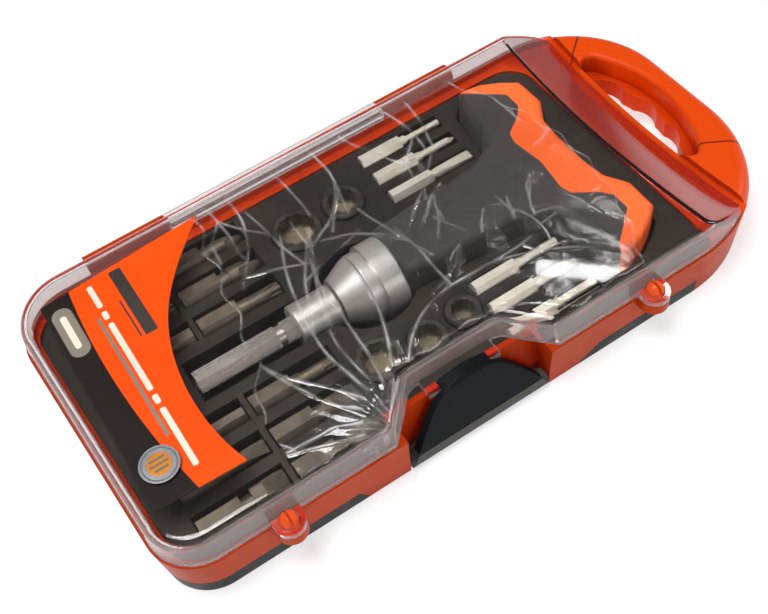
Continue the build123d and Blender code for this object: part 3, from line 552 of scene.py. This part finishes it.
# The sticker's discs: name, radius, look and height. Its marks: width of each, spacing and half height.
DISCS = (
    ("sticker_dark_ring", 4.7, "card_grey", 0.01),
    ("sticker_pale_ring", 4.3, "silver_foil", 0.02),
    ("sticker_centre", 3.3, "sticker_gold", 0.03),
)
MARK_WIDTHS = (4.2, 5.2, 3.6)
MARK_SPACING = 1.5
MARK_HALF = 0.3
MARK_HEIGHT = 0.04


def print_card():
    low, high = box_mm("label_card")
    left = low[0]
    top = high[2]

    def patch(name, across, along, corner, look, lift):
        outline = [(left + x, y) for x, y in oblong(*across, *along, corner)]
        plate(name, outline, top - INK_DEPTH, top + INK_HEIGHT + lift, look)

    for entry in PATCHES:
        patch(*entry)
    y = BAR_FAR
    for index, length in enumerate(BAR_LENGTHS):
        patch("print_bar_%d" % index, BAR_SIDES, (y - length, y), BAR_CORNER, "card_white", 0.0)
        y -= length + BAR_SPACE


def print_sticker():
    low, high = box_mm("label_sticker")
    cx = (low[0] + high[0]) / 2
    cy = (low[1] + high[1]) / 2
    top = high[2]
    for name, radius, look, lift in DISCS:
        angles = [2 * math.pi * step / DISC_STEPS for step in range(DISC_STEPS)]
        ring = [(cx + radius * math.cos(a), cy + radius * math.sin(a)) for a in angles]
        plate(name, ring, top - INK_DEPTH, top + lift, look)
    for index, width in enumerate(MARK_WIDTHS):
        y = cy + MARK_SPACING * (1 - index)
        mark = oblong(cx - width / 2, cx + width / 2, y - MARK_HALF, y + MARK_HALF)
        plate("sticker_mark_%d" % index, mark, top - INK_DEPTH, top + MARK_HEIGHT, "card_grey")


print_card()
print_sticker()


# ---- Shrink film ---------------------------------------------------------------------------------

# The film's grid and limits, in mm: it is laid out from the far edge towards the near one.
FILM_STEP = 0.36
FILM_LEFT = -60.0
FILM_RIGHT = 57.0
FILM_FAR = 41.5
FILM_RUN = 102
GATHER = Vector((-32.0, -50.0))
CREASE_SEED = 19
CREASE_STEP = 2
CREASE_WIDTH = 0.31
FAR_CREASES_Y = 43.0
FAN_LINES = 9
FAR_LINES = 9
LOOSE_LINES = 13

# Pleats round the gathered corner: how many in a full turn, where they are strongest and how they fade.
PLEATS = 30
PLEAT_REACH = 6
PLEAT_FADE = 14
PLEAT_SHIFT = 0.3

# Heights over the lid's top: of the film at rest, and more on a crease, on a pleat and in slow waves.
REST_LIFT = 0.24
CREASE_LIFT = 0.5
PLEAT_LIFT = 0.45
WAVE_LIFT = 0.1

# Where the lid's flat top ends on the near side: X stops and the Y at each, round the latch's notch.
NEAR_STOPS = (-80, -41.5, -27.5, 6.5, 20.5, 80)
NEAR_EDGE = (-43.6, -43.6, -32.2, -32.2, -43.6, -43.6)

# The film bends over that edge with this radius, by up to a quarter turn in radians. It hangs a
# little way down everywhere, and farthest at one place.
BEND = 5.2
QUARTER = 1.57
HANG_LEAST = 2.6
HANG_MORE = 10.5
HANG_X = -36
HANG_HALF = 9

# The film's cut border is milky like a crease, this strongly and over this width.
BORDER_MILK = 0.7
BORDER_WIDTH = 0.5


def walk(rng, start, heading, length, wander):
    """A wandering crease line, as evenly spaced points."""
    points = [start]
    turn = 0.0
    for _ in range(int(length / CREASE_STEP)):
        turn = 0.6 * turn + rng.uniform(-wander, wander)
        heading += turn
        x, y = points[-1]
        points.append((x + CREASE_STEP * math.cos(heading), y + CREASE_STEP * math.sin(heading)))
    return points


def crease_lines():
    """The net of creases: a fan from the gathered corner, runs from the far edge and short loose ones."""
    rng = random.Random(CREASE_SEED)
    lines = []

    def grow(start, heading, length, wander, weight, depth=0):
        points = walk(rng, start, heading, length, wander)
        lines.append((points, weight))
        if depth < 2:
            for _ in range(rng.choice((0, 1, 1, 2))):
                at = points[rng.randrange(len(points) // 3, len(points))]
                side = rng.choice((-1, 1)) * rng.uniform(0.35, 0.9)
                grow(at, heading + side, length * rng.uniform(0.4, 0.8), wander, weight * 0.75, depth + 1)

    for index in range(FAN_LINES):
        angle = math.radians(48 + 14.5 * index + rng.uniform(-5, 5))
        start = (GATHER.x + 10 * math.cos(angle), GATHER.y + 14 * math.sin(angle))
        grow(start, angle, rng.uniform(34, 66), 0.07, rng.uniform(0.75, 1.0))
    for index in range(FAR_LINES):
        start = (-44 + 12 * index + rng.uniform(-4, 4), FAR_CREASES_Y)
        heading = math.radians(-70 + rng.uniform(-22, 12))
        grow(start, heading, rng.uniform(18, 38), 0.08, rng.uniform(0.6, 0.95))
    for _ in range(LOOSE_LINES):
        start = (rng.uniform(-2, 52), rng.uniform(-32, 28))
        grow(start, rng.uniform(0, 2 * math.pi), rng.uniform(8, 18), 0.2, rng.uniform(0.4, 0.75))
    return lines


def crease_field(x, y):
    """How strongly each point lies on a crease, from 0 to 1."""
    field = np.zeros_like(x)
    for points, weight in crease_lines():
        for index in range(len(points) - 1):
            ax, ay = points[index]
            bx, by = points[index + 1]
            near = (x > min(ax, bx) - 2) & (x < max(ax, bx) + 2)
            near &= (y > min(ay, by) - 2) & (y < max(ay, by) + 2)
            if not near.any():
                continue
            px, py = x[near] - ax, y[near] - ay
            dx, dy = bx - ax, by - ay
            share = np.clip((px * dx + py * dy) / (dx * dx + dy * dy), 0, 1)
            distance = np.hypot(px - share * dx, py - share * dy)
            taper = weight * (1 - 0.6 * index / len(points))
            field[near] = np.maximum(field[near], taper * np.exp(-(distance / CREASE_WIDTH) ** 2))
    return field


def film_shape(x, run, top):
    """The film's points, its crease strength and which of the grid's points it covers."""
    y = FILM_FAR - run
    angle = np.arctan2(x - GATHER.x, y - GATHER.y)
    reach = np.hypot(x - GATHER.x, y - GATHER.y)
    gather = np.exp(-((reach - PLEAT_REACH) / PLEAT_FADE) ** 2)
    pleats = gather * np.sin(angle * PLEATS + 1.6 * np.sin(reach * 0.28 + 2 * angle))
    crease = np.clip(crease_field(x, y) + 0.6 * np.clip(pleats - 0.35, 0, 1), 0, 1)
    crease += 0.08 * gather

    edge = np.interp(x, NEAR_STOPS, NEAR_EDGE)
    past = np.clip(edge - y, 0, None)
    turn = np.clip(past / BEND, 0, QUARTER)
    flat_y = np.where(past > 0, edge - BEND * np.sin(turn), y)
    fall = BEND * (1 - np.cos(turn)) + np.clip(past - QUARTER * BEND, 0, None)
    drop = np.where(past > 0, fall, 0)
    waves = WAVE_LIFT * np.sin(x * 0.5 + 1.3 * np.sin(y * 0.21))
    lift = REST_LIFT + CREASE_LIFT * crease + PLEAT_LIFT * np.clip(pleats, -0.4, 1) + waves
    points = (x + PLEAT_SHIFT * pleats, flat_y - lift * np.sin(turn), top + lift * np.cos(turn) - drop)

    hang = np.clip(1 - np.abs(x - HANG_X) / HANG_HALF, 0, 1)
    wobble = 0.9 * np.sin(x * 0.31) + 0.6 * np.sin(x * 0.83 + 1.0)
    limit = HANG_LEAST + HANG_MORE * np.sqrt(hang) + 0.5 * wobble
    left_line = -50 + 0.16 * (y - 10) + 1.2 * np.sin(y * 0.4) - 9 * np.clip((-12 - y) / 30, 0, 1)
    right_line = 55 - 0.02 * (y + 5) ** 2 / 3 + 0.8 * np.sin(y * 0.5)
    inside = (past < limit) & (x > left_line) & (x < right_line)
    border = np.minimum.reduce([limit - past, x - left_line, right_line - x, run + 0.5])
    crease = np.maximum(crease, BORDER_MILK * np.exp(-(border / BORDER_WIDTH) ** 2))
    return points, np.clip(crease, 0, 1), inside


def build_film():
    top = box_mm("lid")[1][2]
    xs = np.arange(FILM_LEFT, FILM_RIGHT, FILM_STEP)
    runs = np.arange(0, FILM_RUN, FILM_STEP)
    x, run = np.meshgrid(xs, runs, indexing="ij")
    points, crease, inside = film_shape(x, run, top)
    index = -np.ones(x.shape, dtype=int)
    index[inside] = np.arange(inside.sum())
    vertices = [tuple(map(float, v)) for v in np.stack([p[inside] for p in points], axis=1)]
    corners = [index[:-1, :-1], index[:-1, 1:], index[1:, 1:], index[1:, :-1]]
    quads = np.stack(corners, axis=-1).reshape(-1, 4)
    quads = [tuple(int(v) for v in q) for q in quads if (q >= 0).all()]
    piece = mesh_piece("wrinkled_film", vertices, quads, "clear_film")
    layer = piece.data.attributes.new(CREASE, "FLOAT", "POINT")
    layer.data.foreach_set("value", crease[inside].astype(np.float32))
    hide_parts("shrink_film")


build_film()


# ---- Floor ---------------------------------------------------------------------------------------

# Metres: half the floor's width, its drop below the part, and where its white glow fades out.
FLOOR_HALF = 4.0
FLOOR_DROP = 0.0002
GLOW_FADE = (0.42, 0.8)
GLOW_NEAR = 0.62
GLOW_FAR = 0.06


def make_floor():
    n = Nodes("pale_floor")
    distance = n.add("ShaderNodeVectorMath", operation="LENGTH")
    n.join(n.place, distance.inputs[0])
    far = n.remap(distance.outputs["Value"], 0, 1, *GLOW_FADE)
    white = n.blend(n.noise(400), (0.52, 0.52, 0.52, 1), (0.48, 0.48, 0.48, 1))
    n.set(Base_Color=n.blend(far, white, (0.2, 0.2, 0.2, 1)), Roughness=0.9, Specular_IOR_Level=0.0)
    n.set(Emission_Color=(1, 1, 1, 1), Emission_Strength=n.remap(far, GLOW_NEAR, GLOW_FAR))
    data = bpy.data.meshes.new("floor")
    signs = ((-1, -1), (1, -1), (1, 1), (-1, 1))
    data.from_pydata([(a * FLOOR_HALF, b * FLOOR_HALF, 0) for a, b in signs], [], [(0, 1, 2, 3)])
    data.materials.append(n.material)
    floor = bpy.data.objects.new("floor", data)
    floor.location.z = cad_box[0].z - FLOOR_DROP
    scene.collection.objects.link(floor)


make_floor()
